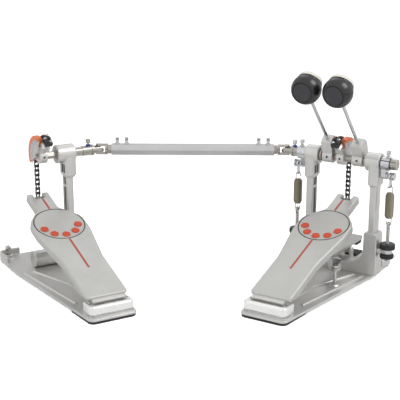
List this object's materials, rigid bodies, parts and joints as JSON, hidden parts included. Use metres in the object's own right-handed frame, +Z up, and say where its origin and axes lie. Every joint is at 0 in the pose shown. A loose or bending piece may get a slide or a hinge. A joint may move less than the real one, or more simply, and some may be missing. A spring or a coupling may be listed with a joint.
{
  "type": "double bass drum pedal",
  "caption": "Double bass drum pedal: two chain-driven footboards joined by a hexagonal telescoping shaft with universal joints, swinging two felt beaters.",
  "frame": {"origin": "on the floor, in the middle of the pedals' footprint", "axes": "+X along the drive shaft towards the pedal with both beaters, +Y towards the drum, +Z up"},
  "size_m": [0.6808, 0.3397, 0.3552],
  "materials": {
    "cast_aluminium": "painted",
    "polished_aluminium": "polished",
    "chrome": "polished",
    "nickel_steel": "satin",
    "black_steel": "satin",
    "black_rubber": "matte",
    "orange_plastic": "gloss",
    "red_rubber": "matte",
    "spring_steel": "satin",
    "felt": "matte",
    "black_plastic": "satin"
  },
  "bodies": {
    "right_frame": {"right_base_plate": "cast_aluminium", "right_base_pads": "black_rubber", "right_heel_block": "polished_aluminium", "right_cradle": "cast_aluminium", "right_posts": "cast_aluminium", "right_housings": "cast_aluminium", "right_bearings": "nickel_steel", "right_spring_nuts": "black_steel", "main_eye_bolt": "chrome", "slave_eye_bolt": "chrome"},
    "clamp_arm": {"clamp_lever": "chrome", "clamp_jaw_pad": "black_rubber"},
    "clamp_key_screw": {"clamp_screw": "chrome"},
    "main_spring_body": {"main_spring": "spring_steel"},
    "slave_spring_body": {"slave_spring": "spring_steel"},
    "main_link": {"main_spring_link": "chrome"},
    "slave_link": {"slave_spring_link": "chrome"},
    "right_axle": {"main_axle": "nickel_steel", "right_cam_hub": "cast_aluminium", "right_cam_insert": "orange_plastic", "right_chain_wrap": "black_steel", "main_beater_hub": "cast_aluminium", "main_rocker": "chrome", "main_key_bolts": "chrome"},
    "main_beater": {"main_beater_rod": "chrome", "main_beater_head": "black_plastic", "main_beater_felt": "felt"},
    "right_chain": {"right_chain_run": "black_steel"},
    "right_board": {"right_footboard": "cast_aluminium", "right_foot_inlays": "red_rubber", "right_toe_pin": "nickel_steel"},
    "slave_shaft": {"slave_axle": "nickel_steel", "slave_beater_hub": "cast_aluminium", "slave_rocker": "chrome", "slave_key_bolts": "chrome"},
    "slave_beater": {"slave_beater_rod": "chrome", "slave_beater_head": "black_plastic", "slave_beater_felt": "felt"},
    "drive_shaft": {"drive_tube": "cast_aluminium", "drive_rod_right": "nickel_steel", "drive_key_bolts": "chrome"},
    "left_slider": {"drive_rod_left": "nickel_steel"},
    "right_joint": {"right_cross": "nickel_steel"},
    "left_joint": {"left_cross": "nickel_steel"},
    "left_frame": {"left_base_plate": "cast_aluminium", "left_base_pads": "black_rubber", "left_heel_block": "polished_aluminium", "left_cross_bar": "cast_aluminium", "left_post": "cast_aluminium", "left_housing": "cast_aluminium", "left_bearings": "nickel_steel", "left_spurs": "nickel_steel"},
    "left_shaft": {"left_axle": "nickel_steel", "left_cam_hub": "cast_aluminium", "left_cam_insert": "orange_plastic", "left_chain_wrap": "black_steel"},
    "left_chain": {"left_chain_run": "black_steel"},
    "left_board": {"left_footboard": "cast_aluminium", "left_foot_inlays": "red_rubber", "left_toe_pin": "nickel_steel"}
  },
  "joints": [
    {"name": "right_axle_turn", "type": "hinge", "parent": "right_frame", "child": "right_axle", "pos_m": [0.24372, 0.07305, 0.2], "axis": [-0.8572, 0.515, 0], "range_deg": [0, 48], "stiffness_Nm_per_rad": 0.6, "springref_deg": -17.19},
    {"name": "right_board_turn", "type": "hinge", "parent": "right_frame", "child": "right_board", "pos_m": [0.12011, -0.13267, 0.02], "axis": [-0.8572, 0.515, 0], "range_deg": [0, 5.2]},
    {"name": "right_chain_turn", "type": "hinge", "parent": "right_axle", "child": "right_chain", "pos_m": [0.26129, 0.09745, 0.20793], "axis": [-0.8572, 0.515, 0], "range_deg": [-56, 0]},
    {"name": "main_spring_tilt", "type": "hinge", "parent": "right_frame", "child": "main_spring_body", "pos_m": [0.32129, 0.02644, 0.097], "axis": [-0.8572, 0.515, 0], "range_deg": [-10.5, 0]},
    {"name": "main_spring_stretch", "type": "slide", "parent": "main_spring_body", "child": "main_link", "axis": [0, 0, 1], "range_m": [0, 0.008], "deforming": ["main_spring"]},
    {"name": "main_beater_height", "type": "slide", "parent": "right_axle", "child": "main_beater", "axis": [-0.3446, -0.5736, 0.7431], "range_m": [-0.01, 0.015]},
    {"name": "left_axle_turn", "type": "hinge", "parent": "left_frame", "child": "left_shaft", "pos_m": [-0.24972, 0.07305, 0.2], "axis": [-0.8572, -0.515, 0], "range_deg": [0, 48], "stiffness_Nm_per_rad": 0.6, "springref_deg": -17.19},
    {"name": "left_board_turn", "type": "hinge", "parent": "left_frame", "child": "left_board", "pos_m": [-0.12611, -0.13267, 0.02], "axis": [-0.8572, -0.515, 0], "range_deg": [0, 5.2]},
    {"name": "left_chain_turn", "type": "hinge", "parent": "left_shaft", "child": "left_chain", "pos_m": [-0.26729, 0.09745, 0.20793], "axis": [-0.8572, -0.515, 0], "range_deg": [-56, 0]},
    {"name": "drive_shaft_turn", "type": "hinge", "parent": "right_frame", "child": "drive_shaft", "pos_m": [0.158, 0.12455, 0.2], "axis": [-1, 0, 0], "range_deg": [0, 54]},
    {"name": "drive_shaft_length", "type": "slide", "parent": "drive_shaft", "child": "left_slider", "axis": [-1, 0, 0], "range_m": [-0.004, 0.04]},
    {"name": "right_joint_swivel", "type": "hinge", "parent": "drive_shaft", "child": "right_joint", "pos_m": [0.158, 0.12455, 0.2], "axis": [0, 0, 1], "range_deg": [0, 9.5]},
    {"name": "left_joint_swivel", "type": "hinge", "parent": "left_slider", "child": "left_joint", "pos_m": [-0.164, 0.12455, 0.2], "axis": [0, 0, 1], "range_deg": [-9.5, 0]},
    {"name": "slave_axle_turn", "type": "hinge", "parent": "right_frame", "child": "slave_shaft", "pos_m": [0.24372, 0.07305, 0.2], "axis": [-0.8572, 0.515, 0], "range_deg": [0, 48]},
    {"name": "slave_beater_height", "type": "slide", "parent": "slave_shaft", "child": "slave_beater", "axis": [-0.3446, -0.5736, 0.7431], "range_m": [-0.01, 0.015]},
    {"name": "slave_spring_tilt", "type": "hinge", "parent": "right_frame", "child": "slave_spring_body", "pos_m": [0.17814, 0.11245, 0.097], "axis": [-0.8572, 0.515, 0], "range_deg": [-10.5, 0]},
    {"name": "slave_spring_stretch", "type": "slide", "parent": "slave_spring_body", "child": "slave_link", "axis": [0, 0, 1], "range_m": [0, 0.008], "deforming": ["slave_spring"]},
    {"name": "pedal_spacing", "type": "slide", "parent": "right_frame", "child": "left_frame", "axis": [-1, 0, 0], "range_m": [-0.004, 0.04]},
    {"name": "clamp_arm_turn", "type": "hinge", "parent": "right_frame", "child": "clamp_arm", "pos_m": [0.25505, 0.09191, 0.034], "axis": [-0.8572, 0.515, 0], "range_deg": [-6, 0]},
    {"name": "clamp_screw_feed", "type": "slide", "parent": "clamp_arm", "child": "clamp_key_screw", "axis": [0, 0, 1], "range_m": [0, 0.0115]}
  ],
  "couplings": [
    {"joint": "right_board_turn", "follows": "right_axle_turn", "ratio": 0.1068},
    {"joint": "right_chain_turn", "follows": "right_axle_turn", "ratio": -1.139},
    {"joint": "main_spring_tilt", "follows": "right_axle_turn", "ratio": -0.206},
    {"joint": "main_spring_stretch", "follows": "right_axle_turn", "m_per_rad": 0.00784},
    {"joint": "left_board_turn", "follows": "left_axle_turn", "ratio": 0.1068},
    {"joint": "left_chain_turn", "follows": "left_axle_turn", "ratio": -1.139},
    {"joint": "drive_shaft_turn", "follows": "left_axle_turn", "ratio": 1.107},
    {"joint": "right_joint_swivel", "follows": "left_axle_turn", "ratio": 0.189},
    {"joint": "left_joint_swivel", "follows": "left_axle_turn", "ratio": -0.189},
    {"joint": "slave_axle_turn", "follows": "left_axle_turn", "ratio": 1},
    {"joint": "slave_spring_tilt", "follows": "left_axle_turn", "ratio": -0.206},
    {"joint": "slave_spring_stretch", "follows": "left_axle_turn", "m_per_rad": 0.00784},
    {"joint": "drive_shaft_length", "follows": "pedal_spacing", "ratio": 1},
    {"joint": "clamp_screw_feed", "follows": "clamp_arm_turn", "m_per_rad": -0.1053}
  ]
}
